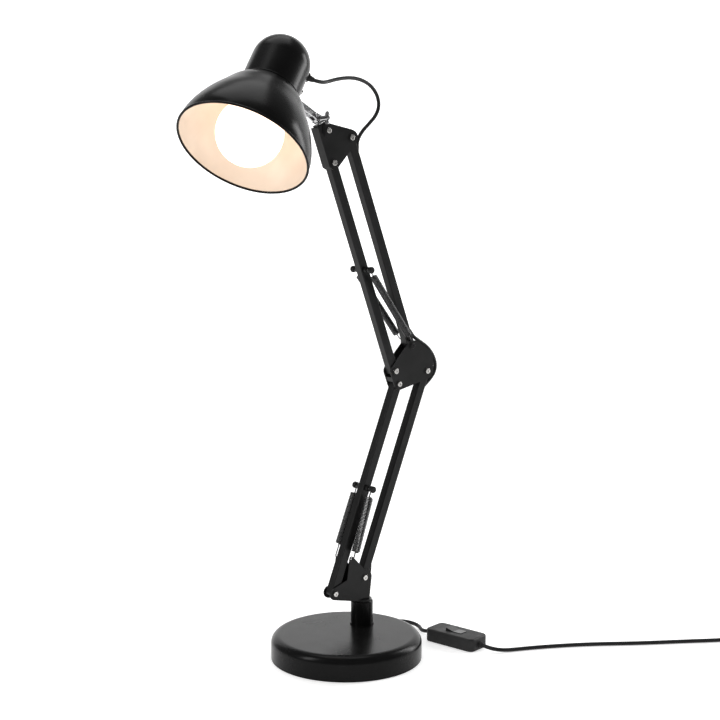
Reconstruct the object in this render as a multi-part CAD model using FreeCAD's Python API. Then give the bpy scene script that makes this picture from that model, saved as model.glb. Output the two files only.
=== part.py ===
import FreeCAD, Part
import math
import os
from FreeCAD import Matrix, Placement, Rotation, Vector

# Swing arm desk lamp, in millimetres. Origin: centre of the base's underside. +Z is up, -X is where the
# head points, and the arms lie in the plane y = ARM_Y. "Near" is the -Y side of the arms, "far" the +Y side.

# ---------------------------------------------------------------- driving dimensions
BASE_RADIUS = 90.0
BASE_HEIGHT = 29.2
BASE_EDGE_ROUND = 10.0
COVER_WALL = 1.2
REAR_ANGLE = 26.0             # where the lead leaves the base, in degrees from +X
POST_X, POST_Y = 36.5, 17.8   # the post stands off-centre, on the base's rear side
ARM_Y = POST_Y

BAR = 11.0                    # square tube of the arms
BAR_WALL = 0.9
BAR_EDGE_ROUND = 1.0
PLATE = 1.2                   # bracket sheet thickness
PLATE_IN = 5.9                # arm plane to the inner face of a bracket's plate
PLATE_OUT = PLATE_IN + PLATE
LOWER_FRONT = (-8.4, 75.0)    # pivots as (x, z) in the arm plane
LOWER_PIVOT_STEP = (44.2, 12.65)
LOWER_ARM = (96.5, 245.1)
ELBOW_STEP = (-5.3, 16.1)
UPPER_PIVOT_STEP = (25.4, 29.5)
UPPER_ARM = (-91.4, 248.2)

BOLT_R = 2.5
RUNNING_GAP = 0.05            # radial clearance of every pivot
WASHER_R = 4.6
WASHER_H = 0.5
CROSS_PIN_R = 2.5
CROSS_PIN_HALF = 19.6
SPRING_TOP_Y = 14.3           # arm plane to a spring's axis at its cross-pin
SPRING_FOOT_Y = 11.2
LOWER_SPRING_R = 5.3
UPPER_SPRING_R = 4.4
SPRING_WIRE = 1.4

CABLE_R = 2.2                 # cable along the arms
LEAD_R = 2.4                  # mains lead

HEAD_YAW = 17.3               # turn of the head about its stem
SHADE_TILT = 57.6             # shade axis away from the stem axis
BLOCK_FROM, BLOCK_TO = 21.0, 46.6   # nylon block along the stem, from the head bracket's front pivot
STEM_R = 3.0
KNUCKLE_AT = 52.0
KNUCKLE_BACK = 81.4           # knuckle from the shade's axis
KNUCKLE_HEIGHT = 113.0        # knuckle above the shade's mouth
RIM_R = 74.0
SHEET = 0.9                   # shade sheet thickness
CAP_R = 33.2
CAP_FROM, CAP_TO = 84.0, 122.0
HOLDER_R = 20.0
GLOBE_R = 37.0
GLOBE_AT = 23.8
GROMMET_ANGLE = 25.0          # grommet round the cap, from the knuckle towards the near side
GROMMET_AT = 128.0

SWITCH_LONG, SWITCH_WIDE, SWITCH_HIGH = 80.0, 34.0, 16.0
SWITCH_HEADING = -78.0
SWITCH_LEAD_Z = 6.6
COIL_X, COIL_Y = 430.0, -289.0
COIL_R = 28.8                 # middle of the turns
COIL_COLUMNS, COIL_LAYERS = 4, 2
COIL_PITCH = 4.93             # from one column of turns to the next
PLUG_PIN_R = 2.0
PLUG_PIN_LONG = 19.0
PLUG_PIN_GAP = 18.6
PIN_ROOT_R, PIN_ROOT_LONG = 1.6, 10.0
PIN_NECK = 0.3                # thin root showing in front of the plug's face
PIN_TIP_ROUND = 1.2

Y_AXIS = Vector(0, 1, 0)
Z_AXIS = Vector(0, 0, 1)


def plus(a, b, scale=1.0):
    return (a[0] + b[0] * scale, a[1] + b[1] * scale)


LOWER_REAR = plus(LOWER_FRONT, LOWER_PIVOT_STEP)
ELBOW_LOWER_FRONT = plus(LOWER_FRONT, LOWER_ARM)
ELBOW_LOWER_REAR = plus(LOWER_REAR, LOWER_ARM)
ELBOW_UPPER_FRONT = plus(ELBOW_LOWER_FRONT, ELBOW_STEP)
ELBOW_UPPER_REAR = plus(ELBOW_UPPER_FRONT, UPPER_PIVOT_STEP)
HEAD_FRONT = plus(ELBOW_UPPER_FRONT, UPPER_ARM)
HEAD_REAR = plus(ELBOW_UPPER_REAR, UPPER_ARM)
BRACKET_FLOOR = LOWER_FRONT[1] - 14.2
WASHER_FLOOR = BRACKET_FLOOR - 1.5

parts = {}


# ---------------------------------------------------------------- drawing helpers
def placed(shape, origin, x_dir, y_dir, z_dir):
    """The shape moved from its own axes to an origin and three directions."""
    rows = Matrix(x_dir.x, y_dir.x, z_dir.x, origin.x,
                  x_dir.y, y_dir.y, z_dir.y, origin.y,
                  x_dir.z, y_dir.z, z_dir.z, origin.z,
                  0, 0, 0, 1)
    moved = shape.copy()
    moved.Placement = Placement(rows).multiply(shape.Placement)
    return moved


def hull_edges(discs):
    """Edges of the band pulled tight round discs (x, z, r), listed anticlockwise."""
    count = len(discs)
    normals = []
    for i in range(count):
        x0, z0, r0 = discs[i]
        x1, z1, r1 = discs[(i + 1) % count]
        dx, dz = x1 - x0, z1 - z0
        span = math.hypot(dx, dz)
        along = (r0 - r1) / span
        across = math.sqrt(1 - along * along)
        normals.append(((dx * along + dz * across) / span, (dz * along - dx * across) / span))
    edges = []
    for i in range(count):
        x, z, r = discs[i]
        into, out = normals[i - 1], normals[i]
        start = Vector(x + r * into[0], 0, z + r * into[1])
        end = Vector(x + r * out[0], 0, z + r * out[1])
        first = math.atan2(into[1], into[0])
        turn = (math.atan2(out[1], out[0]) - first) % (2 * math.pi)
        if turn > 1e-4:
            middle = Vector(x + r * math.cos(first + turn / 2), 0, z + r * math.sin(first + turn / 2))
            edges.append(Part.Arc(start, middle, end).toShape())
        nx, nz, nr = discs[(i + 1) % count]
        edges.append(Part.LineSegment(end, Vector(nx + nr * out[0], 0, nz + nr * out[1])).toShape())
    return edges


def hull_block(discs, y_from, y_to, origin=(0, 0)):
    """The hull of the discs as a plate between two distances from the arm plane."""
    face = Part.Face(Part.Wire(hull_edges(discs)))
    block = face.extrude(Vector(0, y_to - y_from, 0))
    block.translate(Vector(origin[0], ARM_Y + y_from, origin[1]))
    return block


def cross_cylinder(at, radius, y_from, y_to):
    """A cylinder across the arm plane."""
    base = Vector(at[0], ARM_Y + y_from, at[1])
    return Part.makeCylinder(radius, y_to - y_from, base, Y_AXIS)


def fused(shapes):
    whole = shapes[0]
    for shape in shapes[1:]:
        whole = whole.fuse(shape)
    return whole.removeSplitter()


def cut(shape, tools):
    for tool in tools:
        shape = shape.cut(tool)
    return shape


def revolved(points):
    """A solid of revolution about Z from a closed outline of (r, z) corners."""
    wire = Part.makePolygon([Vector(r, 0, z) for r, z in points + points[:1]])
    return Part.Face(wire).revolve(Vector(), Z_AXIS, 360)


def rounded(shape, radius, wanted):
    """Fillets the edges for which wanted(edge) is true."""
    return shape.makeFillet(radius, [edge for edge in shape.Edges if wanted(edge)])


def cord_tube(name, points, radius):
    """A tube of straight runs joined by tangent arcs, each as large as its two runs allow."""
    route = [Vector(*p) for p in points]
    edges, radii, start = [], [], route[0]
    for before, corner, after in zip(route, route[1:], route[2:]):
        into, out = corner - before, after - corner
        shorter = min(into.Length, out.Length)
        into.normalize()
        out.normalize()
        reach = 0.45 * shorter
        half_turn = into.getAngle(out) / 2
        radii.append(reach / math.tan(half_turn))
        arc_start, arc_end = corner - into * reach, corner + out * reach
        inward = out - into
        inward.normalize()
        centre = corner + inward * math.hypot(reach, radii[-1])
        middle = centre - inward * radii[-1]
        edges.append(Part.LineSegment(start, arc_start).toShape())
        edges.append(Part.Arc(arc_start, middle, arc_end).toShape())
        start = arc_end
    edges.append(Part.LineSegment(start, route[-1]).toShape())
    path = Part.Wire(edges)
    first = route[1] - route[0]
    section = Part.Wire(Part.makeCircle(radius, route[0], first))
    tube = path.makePipeShell([section], True, False)
    expected = math.pi * radius ** 2 * path.Length
    print(name, "length", round(path.Length, 1), "smallest radius", round(min(radii), 1),
          "volume ratio", round(tube.Volume / expected, 4))
    return tube


def heading(degrees):
    return Vector(math.cos(math.radians(degrees)), math.sin(math.radians(degrees)), 0)


# ---------------------------------------------------------------- directions of the arms and the head
def unit(step):
    length = math.hypot(*step)
    return (step[0] / length, step[1] / length)


LOWER_UP = unit(LOWER_ARM)
UPPER_UP = unit(UPPER_ARM)


def beside(pivot, up, along, back):
    """A point in the arm plane: along the bar from its pivot, and back towards the rear."""
    return (pivot[0] + up[0] * along + up[1] * back, pivot[1] + up[1] * along - up[0] * back)


def arm_point(at):
    return (at[0], ARM_Y, at[1])


STEM = Vector(UPPER_UP[0], 0, UPPER_UP[1])
STEM_FOOT = Vector(HEAD_FRONT[0], ARM_Y, HEAD_FRONT[1])
KNUCKLE = STEM_FOOT + STEM * KNUCKLE_AT
TILT_AXIS = Rotation(STEM, HEAD_YAW).multVec(Y_AXIS)
SHADE_UP = Rotation(TILT_AXIS, SHADE_TILT).multVec(STEM)
SHADE_REAR = TILT_AXIS.cross(SHADE_UP)
SHADE_MOUTH = KNUCKLE - SHADE_UP * KNUCKLE_HEIGHT - SHADE_REAR * KNUCKLE_BACK


def on_shade(shape):
    """From the shade's own axes (x rear, z up its axis, mouth at 0) to the lamp's."""
    return placed(shape, SHADE_MOUTH, SHADE_REAR, TILT_AXIS, SHADE_UP)


def shade_point(x, y, z):
    return SHADE_MOUTH + SHADE_REAR * x + TILT_AXIS * y + SHADE_UP * z


def on_stem(shape):
    """From the stem's own axes (x rear, z along the stem) to the lamp's."""
    return placed(shape, STEM_FOOT, Y_AXIS.cross(STEM), Y_AXIS, STEM)


def on_knuckle(shape):
    """From axes at the knuckle (z along its bolt, x along the shade's rear) to the lamp's."""
    return placed(shape, KNUCKLE, SHADE_REAR, TILT_AXIS.cross(SHADE_REAR), TILT_AXIS)


# ---------------------------------------------------------------- base
GLAND_OUT = 110.0             # tip of the lead's strain relief, from the base's centre
GLAND_Z = 7.5
SPIGOT_R = 8.0
PIN_R = 5.0
PIN_BORE = 3.2
SPIGOT_FOOT = 22.0
REAR = heading(REAR_ANGLE)
PAD_H, PLATE_H = 1.5, 1.5
WEIGHT_TOP = 19.0
SCREW_CIRCLE = 62.0
CABLE_MEETS_Z = 19.5          # where the arm's cable meets the base's cable, under the swivel pin


def post_cylinder(radius, z_from, z_to):
    return Part.makeCylinder(radius, z_to - z_from, Vector(POST_X, POST_Y, z_from))


def rear_cylinder(radius, r_from, r_to):
    """A cylinder along the lead's way out, between two distances from the base's centre."""
    return Part.makeCylinder(radius, r_to - r_from, REAR * r_from + Z_AXIS * GLAND_Z, REAR)


def screw_places():
    return [heading(REAR_ANGLE + 60 + 120 * i) * SCREW_CIRCLE for i in range(3)]


def base_cover():
    outer = Part.makeCylinder(BASE_RADIUS, BASE_HEIGHT - 0.5, Vector(0, 0, 0.5))
    outer = rounded(outer, BASE_EDGE_ROUND, lambda e: e.BoundBox.ZMin > BASE_HEIGHT - 0.1)
    inner = Part.makeCylinder(BASE_RADIUS - COVER_WALL, BASE_HEIGHT - COVER_WALL)
    inner = rounded(inner, BASE_EDGE_ROUND - COVER_WALL, lambda e: e.BoundBox.ZMin > BASE_HEIGHT - 2)
    return cut(outer, [inner, post_cylinder(SPIGOT_R, 0, 40), rear_cylinder(4.6, 80, 100)])


def base_weight():
    z_from = PAD_H + PLATE_H
    disc = Part.makeCylinder(86, WEIGHT_TOP - z_from, Vector(0, 0, z_from))
    disc = rounded(disc, 4, lambda e: e.BoundBox.ZMin > WEIGHT_TOP - 0.1)
    channel = Part.makeBox(90, 12, WEIGHT_TOP, Vector(0, -6, PAD_H + PLATE_H + 1))
    channel.rotate(Vector(), Z_AXIS, REAR_ANGLE)
    channel.translate(REAR * 42)
    screws = [Part.makeCylinder(2, 9, p + Z_AXIS * z_from) for p in screw_places()]
    return cut(disc, [post_cylinder(17, 0, 40), channel] + screws)


def base_plate():
    disc = Part.makeCylinder(BASE_RADIUS - COVER_WALL - 0.1, PLATE_H, Vector(0, 0, PAD_H))
    return cut(disc, [Part.makeCylinder(2, 9, p) for p in screw_places()])


def base_pad():
    disc = Part.makeCylinder(87, PAD_H)
    return cut(disc, [Part.makeCylinder(4.5, PAD_H, p) for p in screw_places()])


def base_screws():
    """Three cap screws, sunk in the pad, that hold the bottom plate to the weight."""
    screws = []
    for place in screw_places():
        head = Part.makeCylinder(4, 1.1, place + Z_AXIS * (PAD_H - 1.1))
        shank = Part.makeCylinder(2, PLATE_H + 9, place + Z_AXIS * PAD_H)
        slot = Part.makeBox(5, 0.9, 0.5, place + Vector(-2.5, -0.45, PAD_H - 1.1))
        screws.append(cut(fused([head, shank]), [slot]))
    return Part.makeCompound(screws)


def collar():
    body = post_cylinder(13.5, BASE_HEIGHT, WASHER_FLOOR)
    body = rounded(body, 2.2, lambda e: e.BoundBox.ZMin > WASHER_FLOOR - 0.1)
    foot = post_cylinder(14.6, BASE_HEIGHT, BASE_HEIGHT + 1.6)
    spigot = post_cylinder(SPIGOT_R, SPIGOT_FOOT, BASE_HEIGHT)
    return cut(fused([body, foot, spigot]), [post_cylinder(PIN_R + RUNNING_GAP, 0, 80)])


def hexagon(across_flats, height, centre):
    corner = across_flats / math.sqrt(3)
    points = [centre + heading(60 * i) * corner for i in range(7)]
    return Part.Face(Part.makePolygon(points)).extrude(Z_AXIS * height)


def collar_nut():
    nut = hexagon(24, 4, Vector(POST_X, POST_Y, BASE_HEIGHT - COVER_WALL - 4))
    return cut(nut, [post_cylinder(SPIGOT_R, 0, 40)])


def lead_gland():
    """Tapered strain relief: a flange each side of the cover's wall and a long ribbed sleeve."""
    inside = rear_cylinder(6.2, BASE_RADIUS - 3.4, BASE_RADIUS - COVER_WALL - 0.4)
    inside = inside.common(Part.makeBox(300, 300, 30, Vector(-150, -150, PAD_H + PLATE_H + 0.1)))
    neck = rear_cylinder(4.4, BASE_RADIUS - 3, BASE_RADIUS + 1)
    flange = rear_cylinder(6.2, BASE_RADIUS + 0.3, BASE_RADIUS + 2)
    root = REAR * (BASE_RADIUS + 1) + Z_AXIS * GLAND_Z
    sleeve = Part.makeCone(4.4, LEAD_R + 0.5, GLAND_OUT - BASE_RADIUS - 1, root, REAR)
    ribs = []
    for i in range(4):
        out = BASE_RADIUS + 5 + 3.6 * i
        ribs.append(cut(rear_cylinder(6, out, out + 1.1), [rear_cylinder(3.1, out, out + 1.1)]))
    return cut(fused([inside, neck, flange, sleeve]), ribs)


def base_inner_cable():
    """The cable from under the swivel pin to the strain relief, along the weight's channel."""
    post = Vector(POST_X, POST_Y, 0)
    start = post + Z_AXIS * CABLE_MEETS_Z
    end = REAR * (BASE_RADIUS - 3.4) + Z_AXIS * GLAND_Z
    points = [start, post + Vector(1.5, 0.7, 13), post + REAR * 10 + Z_AXIS * 8.6,
              post + REAR * 26 + Z_AXIS * 7.6, end]
    return cord_tube("base_inner_cable", [tuple(p) for p in points], CABLE_R)


# ---------------------------------------------------------------- swivel and lower bracket
def swivel_pin():
    """Hollow pin, riveted into the lower bracket, that turns in the collar."""
    flange_top = BRACKET_FLOOR + PLATE + 1.5
    shank = post_cylinder(PIN_R, SPIGOT_FOOT - 2, flange_top)
    flange = post_cylinder(5.8, BRACKET_FLOOR + PLATE, flange_top)
    mouth = Part.makeCone(PIN_BORE, PIN_BORE + 1.4, 1.5, Vector(POST_X, POST_Y, flange_top - 1.5))
    groove = cut(post_cylinder(6, 20.3, 21.6), [post_cylinder(4.4, 20.3, 21.6)])
    return cut(fused([shank, flange]), [post_cylinder(PIN_BORE, 0, 90), mouth, groove])


def swivel_clip():
    ring = cut(post_cylinder(7.6, 20.4, 21.5), [post_cylinder(4.4, 20, 22)])
    mouth = Part.makeBox(12, 3.4, 2, Vector(POST_X, POST_Y - 1.7, 20))
    return cut(ring, [mouth])


def swivel_washer():
    return cut(post_cylinder(12, WASHER_FLOOR, BRACKET_FLOOR), [post_cylinder(PIN_R + 0.2, 0, 80)])


def plate_with_bosses(outline, side, pivots, extra_holes=()):
    """One bracket plate: outline hulls, a raised ring round each pivot, and bolt holes."""
    inner, outer = (PLATE_IN, PLATE_OUT) if side > 0 else (-PLATE_OUT, -PLATE_IN)
    ring = (PLATE_OUT, PLATE_OUT + WASHER_H) if side > 0 else (-PLATE_OUT - WASHER_H, -PLATE_OUT)
    shapes = [hull_block(discs, inner, outer, origin) for discs, origin in outline]
    shapes += [cross_cylinder(p, WASHER_R, *ring) for p in pivots]
    plate = fused(shapes)
    plate = cut(plate, [cross_cylinder(p, BOLT_R, -20, 20) for p in pivots])
    return cut(plate, [cross_cylinder(p, r, -20, 20) for p, r in extra_holes])


LOWER_HOOK_NEAR = plus(LOWER_FRONT, (24.0, 39.5))
LOWER_HOOK_FAR = plus(LOWER_FRONT, (13.0, 39.5))
HOOK_HOLE_R = 1.5


def lower_bracket():
    """Folded channel: two plates with a spring horn each, joined by a floor under the rear pivot."""
    body = [(0, 0, 7.4), (30, -12.2, 2), (49.5, -12.2, 2), (44.2, 12.65, 10.3)]
    near_horn = [(19.5, 14, 2), (46, 12, 6), (24.5, 39, 3)]
    far_horn = [(7.5, 10, 2), (40, 14, 6), (13.5, 39, 3)]
    pivots = [LOWER_FRONT, LOWER_REAR]
    near = plate_with_bosses([(body, LOWER_FRONT), (near_horn, LOWER_FRONT)], -1, pivots,
                             [(LOWER_HOOK_NEAR, HOOK_HOLE_R)])
    far = plate_with_bosses([(body, LOWER_FRONT), (far_horn, LOWER_FRONT)], 1, pivots,
                            [(LOWER_HOOK_FAR, HOOK_HOLE_R)])
    floor = Part.makeBox(21.5, 2 * PLATE_OUT, PLATE,
                         Vector(LOWER_FRONT[0] + 30, ARM_Y - PLATE_OUT, BRACKET_FLOOR))
    return cut(fused([near, far, floor]), [post_cylinder(PIN_R, 0, 80)])


def pivot_bolt(at, radius=BOLT_R):
    """A bolt across both plates, with a low round head near and a nut far, as two solids."""
    face = PLATE_OUT + WASHER_H
    head = cross_cylinder(at, 3.3, -face - 1.3, -face)
    head = rounded(head, 0.6, lambda e: e.BoundBox.YMax < ARM_Y - face - 1.2)
    recess = cross_cylinder(at, 1.1, -face - 1.3, -face - 0.6)
    shank = cross_cylinder(at, radius, -face, face + 3.4)
    corner = 4.6
    nut_points = [Vector(at[0] + corner * math.cos(math.radians(60 * i)), ARM_Y + face,
                         at[1] + corner * math.sin(math.radians(60 * i))) for i in range(7)]
    nut = Part.Face(Part.makePolygon(nut_points)).extrude(Y_AXIS * 2.8)
    nut = nut.cut(cross_cylinder(at, radius, -20, 20))
    return [fused([head.cut(recess), shank]), nut]


def pivot_bolts(places):
    return Part.makeCompound([solid for at in places for solid in pivot_bolt(at)])


# ---------------------------------------------------------------- arm bars
HOLE_FROM, HOLE_TO = 12.5, 30.0   # cable hole in a rear bar's rear face, from the pivot


def bar(bottom, top, up, holes=False, cross_pin=False):
    """Square tube with rounded ends, bored for its two pivot bolts."""
    half = BAR / 2
    block = hull_block([(bottom[0], bottom[1], half), (top[0], top[1], half)], -half, half)
    block = rounded(block, BAR_EDGE_ROUND, lambda e: e.BoundBox.YLength < 1e-3)
    hollow = half - BAR_WALL
    length = math.hypot(top[0] - bottom[0], top[1] - bottom[1])
    core = Part.makeBox(2 * hollow, 2 * hollow, length + 30, Vector(-hollow, -hollow, -15))
    along = Vector(up[0], 0, up[1])
    core = placed(core, Vector(bottom[0], ARM_Y, bottom[1]), Y_AXIS.cross(along), Y_AXIS, along)
    tools = [core] + [cross_cylinder(p, BOLT_R + RUNNING_GAP, -9, 9) for p in (bottom, top)]
    if cross_pin:
        middle = ((bottom[0] + top[0]) / 2, (bottom[1] + top[1]) / 2)
        tools.append(cross_cylinder(middle, CROSS_PIN_R, -9, 9))
    if holes:
        width = 2 * CABLE_R + 1.0
        for first in (HOLE_FROM, length - HOLE_TO):
            slot = Part.makeBox(4, width, HOLE_TO - HOLE_FROM, Vector(hollow - 1, -width / 2, first))
            tools.append(placed(slot, Vector(bottom[0], ARM_Y, bottom[1]),
                                Y_AXIS.cross(along), Y_AXIS, along))
    return cut(block, tools)


def cross_pin(bottom, top):
    """Pin through a front bar, with a round knob at each end that holds a spring's hook."""
    middle = ((bottom[0] + top[0]) / 2, (bottom[1] + top[1]) / 2)
    solids = [cross_cylinder(middle, CROSS_PIN_R, -CROSS_PIN_HALF + 3.6, CROSS_PIN_HALF - 3.6)]
    for side in (-1, 1):
        inner, outer = sorted((side * (CROSS_PIN_HALF - 3.6), side * CROSS_PIN_HALF))
        knob = cross_cylinder(middle, 4.1, inner, outer)
        solids.append(rounded(knob, 1.3, lambda e: e.BoundBox.YLength < 1e-3))
        near_bar, end = sorted((side * (BAR / 2), side * (BAR / 2 + 5.2)))
        solids.append(cross_cylinder(middle, 3.6, near_bar, end))
    return fused(solids)


def inner_cable(name, bottom, top, up):
    """The straight cable inside a rear bar, between the ends of its two loops."""
    inside = LOOP_INSIDE + 0.7
    start = Vector(*arm_point(beside(bottom, up, inside, 0)))
    end = Vector(*arm_point(beside(top, up, -inside, 0)))
    print(name, "length", round((end - start).Length, 1))
    return Part.makeCylinder(CABLE_R, (end - start).Length, start, end - start)


# ---------------------------------------------------------------- springs
def spring(top, foot, side, radius, top_gap, foot_gap):
    """Tension spring as a plain tube of its coils, with a straight hook wire at each end."""
    start = Vector(foot[0], ARM_Y + side * SPRING_FOOT_Y, foot[1])
    end = Vector(top[0], ARM_Y + side * SPRING_TOP_Y, top[1])
    along = end - start
    length = along.Length
    along.normalize()
    coil_start, coil_long = start + along * foot_gap, length - foot_gap - top_gap
    coils = Part.makeCylinder(radius, coil_long, coil_start, along)
    bore = Part.makeCylinder(radius - SPRING_WIRE, coil_long - 3, coil_start + along * 1.5, along)
    wire_r = SPRING_WIRE / 2
    low = Part.makeCylinder(wire_r, foot_gap, start + along * 0.2, along)
    high = Part.makeCylinder(wire_r, top_gap - CROSS_PIN_R - 0.4, end - along * top_gap, along)
    return fused([coils.cut(bore), low, high])


def middle_of(a, b):
    return ((a[0] + b[0]) / 2, (a[1] + b[1]) / 2)


# ---------------------------------------------------------------- elbow bracket
ELBOW_HOOK = plus(ELBOW_UPPER_FRONT, (21.0, 36.0))


def elbow_bracket():
    """Two plates round four pivots, joined by a short web in front and a spacer in the middle."""
    lower_rear = LOWER_PIVOT_STEP
    upper_front = ELBOW_STEP
    upper_rear = plus(ELBOW_STEP, UPPER_PIVOT_STEP)
    outline = [(0, 0, 7.4), (lower_rear[0], lower_rear[1], 9.6), (48, 32, 5),
               (27, 48.6, 3), (upper_rear[0], upper_rear[1], 6.6), (upper_front[0], upper_front[1], 8.2)]
    ear = [(15.6, 42, 2), (24, 44, 3), (16.2, 52, 3.2)]
    pivots = [ELBOW_LOWER_FRONT, ELBOW_LOWER_REAR, ELBOW_UPPER_FRONT, ELBOW_UPPER_REAR]
    sides = [plate_with_bosses([(outline, ELBOW_LOWER_FRONT), (ear, ELBOW_LOWER_FRONT)], side, pivots,
                               [(ELBOW_HOOK, HOOK_HOLE_R)]) for side in (-1, 1)]
    web = hull_block([(-7.8, 3.4, 0.6), (-10.0, 8.4, 0.6)], -PLATE_OUT, PLATE_OUT, ELBOW_LOWER_FRONT)
    return fused(sides + [web])


# ---------------------------------------------------------------- head bracket, block, stem and knuckle
BLOCK_SCREW = (5.4, 37.0)     # rear of the stem axis, along the stem
BLOCK_SCREW_R = 2.0
BLOCK_FRONT, BLOCK_REAR = 5.6, 8.9   # faces of the block from the stem's axis
EYE_HALF = 2.5                # half thickness of the stem's flat eye


def head_bracket():
    """Folded channel, open at the rear: two plates with a web in front of the bar and the block."""
    outline = [(0, 0, 7.8), (25.4, 29.5, 8.7), (25.0, 36.4, 2.4), (-13.6, 44.6, 1.4), (-13.9, 23, 1.4)]
    pivots = [HEAD_FRONT, HEAD_REAR]
    screw_at = beside(HEAD_FRONT, UPPER_UP, BLOCK_SCREW[1], BLOCK_SCREW[0])
    holes = [(screw_at, BLOCK_SCREW_R)]
    sides = [plate_with_bosses([(outline, HEAD_FRONT)], side, pivots, holes) for side in (-1, 1)]
    pad_discs = [(1.5, 39.5, 1.5), (-12.2, 44.3, 1.2), (-12.2, 31, 1.2), (-9.5, 31, 1.2)]
    pad = hull_block(pad_discs, -PLATE_OUT - 0.4, -PLATE_OUT, HEAD_FRONT)
    pad = pad.cut(cross_cylinder(screw_at, BLOCK_SCREW_R, -20, 20))
    web_foot = beside(HEAD_FRONT, UPPER_UP, -3.0, -7.2)
    web_head = beside(HEAD_FRONT, UPPER_UP, 44.0, -7.2)
    web = hull_block([(web_foot[0], web_foot[1], 0.6), (web_head[0], web_head[1], 0.6)],
                     -PLATE_OUT, PLATE_OUT)
    lip = [beside(HEAD_FRONT, UPPER_UP, along, back)
           for along, back in ((-2.2, -7.2), (2, 0), (22, 0), (43.4, -6.6))]
    lips = [hull_block([(x, z, 0.6) for x, z in lip], *ys) for ys in
            ((-PLATE_OUT, -PLATE_IN), (PLATE_IN, PLATE_OUT))]
    bolt_holes = [cross_cylinder(p, BOLT_R, -20, 20) for p in pivots]
    return cut(fused(sides + [pad, web] + lips), bolt_holes + [cross_cylinder(screw_at, BLOCK_SCREW_R, -20, 20)])


def head_block():
    """Nylon block between the plates, bored for the head's stem and clamped by a cross screw."""
    half = PLATE_IN
    block = Part.makeBox(BLOCK_FRONT + BLOCK_REAR, 2 * half, BLOCK_TO - BLOCK_FROM,
                         Vector(-BLOCK_FRONT, -half, BLOCK_FROM))
    block = rounded(block, 1.2, lambda e: e.BoundBox.YLength < 1e-3)
    bore = Part.makeCylinder(STEM_R + RUNNING_GAP, 80, Vector(0, 0, 0))
    split = Part.makeBox(8, 0.8, 80, Vector(2.5, -0.4, 0))
    screw = Part.makeCylinder(BLOCK_SCREW_R, 40, Vector(BLOCK_SCREW[0], -20, BLOCK_SCREW[1]), Y_AXIS)
    return on_stem(cut(block, [bore, split, screw]))


def block_screw():
    at = beside(HEAD_FRONT, UPPER_UP, BLOCK_SCREW[1], BLOCK_SCREW[0])
    face = PLATE_OUT + 0.4
    head = cross_cylinder(at, 3.3, -face - 1.5, -face)
    head = rounded(head, 0.6, lambda e: e.BoundBox.YMax < ARM_Y - face - 1.4)
    recess = cross_cylinder(at, 1.3, -face - 1.5, -face - 0.6)
    shank = cross_cylinder(at, BLOCK_SCREW_R, -face, PLATE_OUT + 2.6)
    nut = cross_cylinder(at, 3.7, PLATE_OUT, PLATE_OUT + 2.2).cut(cross_cylinder(at, BLOCK_SCREW_R, -9, 12))
    return Part.makeCompound([fused([head.cut(recess), shank]), nut])


def head_stem():
    """Chrome stem that turns in the block, with a riveted foot and a flat eye for the knuckle bolt."""
    foot_z = BLOCK_FROM - 2.2
    shank = Part.makeCylinder(STEM_R, BLOCK_TO - foot_z, Vector(0, 0, foot_z))
    foot = Part.makeCylinder(4.4, 2.0, Vector(0, 0, foot_z))
    flange = Part.makeCylinder(4.8, 0.5, Vector(0, 0, BLOCK_TO + 0.2))
    stem = on_stem(fused([shank, foot, flange, Part.makeCylinder(STEM_R, 1, Vector(0, 0, BLOCK_TO - 0.5))]))
    neck = on_stem(Part.makeCylinder(STEM_R, KNUCKLE_AT - BLOCK_TO, Vector(0, 0, BLOCK_TO)))
    neck = neck.common(on_knuckle(Part.makeBox(60, 60, 2 * EYE_HALF, Vector(-30, -30, -EYE_HALF))))
    stem = fused([stem, neck])
    eye = on_knuckle(Part.makeCylinder(4.6, 2 * EYE_HALF, Vector(0, 0, -EYE_HALF)))
    hole = on_knuckle(Part.makeCylinder(2.0, 30, Vector(0, 0, -15)))
    return fused([stem, eye]).cut(hole)


BOLT_END = 16.4               # end of the knuckle bolt on the near side
NUT_SEAT = 5.2                # wing nut's seat from the knuckle's middle
WING_LOBE_R, WING_LOBE_AT, WING_MIDDLE = 2.9, 4.7, 14.1


def knuckle_bolt():
    """Bolt across the knuckle: round head on the far side, thread for the wing nut on the near side."""
    head = Part.makeCylinder(3.6, 2.6, Vector(0, 0, 5.0))
    head = rounded(head, 1.0, lambda e: e.BoundBox.ZMin > 7.5)
    shank = Part.makeCylinder(2.0, 5.0 + BOLT_END, Vector(0, 0, -BOLT_END))
    return on_knuckle(fused([head, shank]))


def wing_nut():
    """Wing nut on the knuckle bolt: a tapered hub with two thin rounded wings."""
    hub = Part.makeCone(3.1, 3.5, BOLT_END - 1.5 - NUT_SEAT, Vector(0, 0, 1.5 - BOLT_END))
    wings = []
    for side in (-1, 1):
        lobe = Part.makeCylinder(WING_LOBE_R, 1.8, Vector(side * WING_LOBE_AT, -0.9, -WING_MIDDLE), Y_AXIS)
        root = Part.makeBox(WING_LOBE_AT - 1.0, 1.8, 2 * WING_LOBE_R - 1.4,
                            Vector(min(side * 1.0, side * WING_LOBE_AT), -0.9, -WING_MIDDLE - WING_LOBE_R + 1.4))
        wings += [lobe, root]
    bore = Part.makeCylinder(2.0 + RUNNING_GAP, 30, Vector(0, 0, -25))
    nut = fused([hub] + wings).cut(bore)
    nut.rotate(Vector(), Z_AXIS, 62)
    return on_knuckle(nut)


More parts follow.
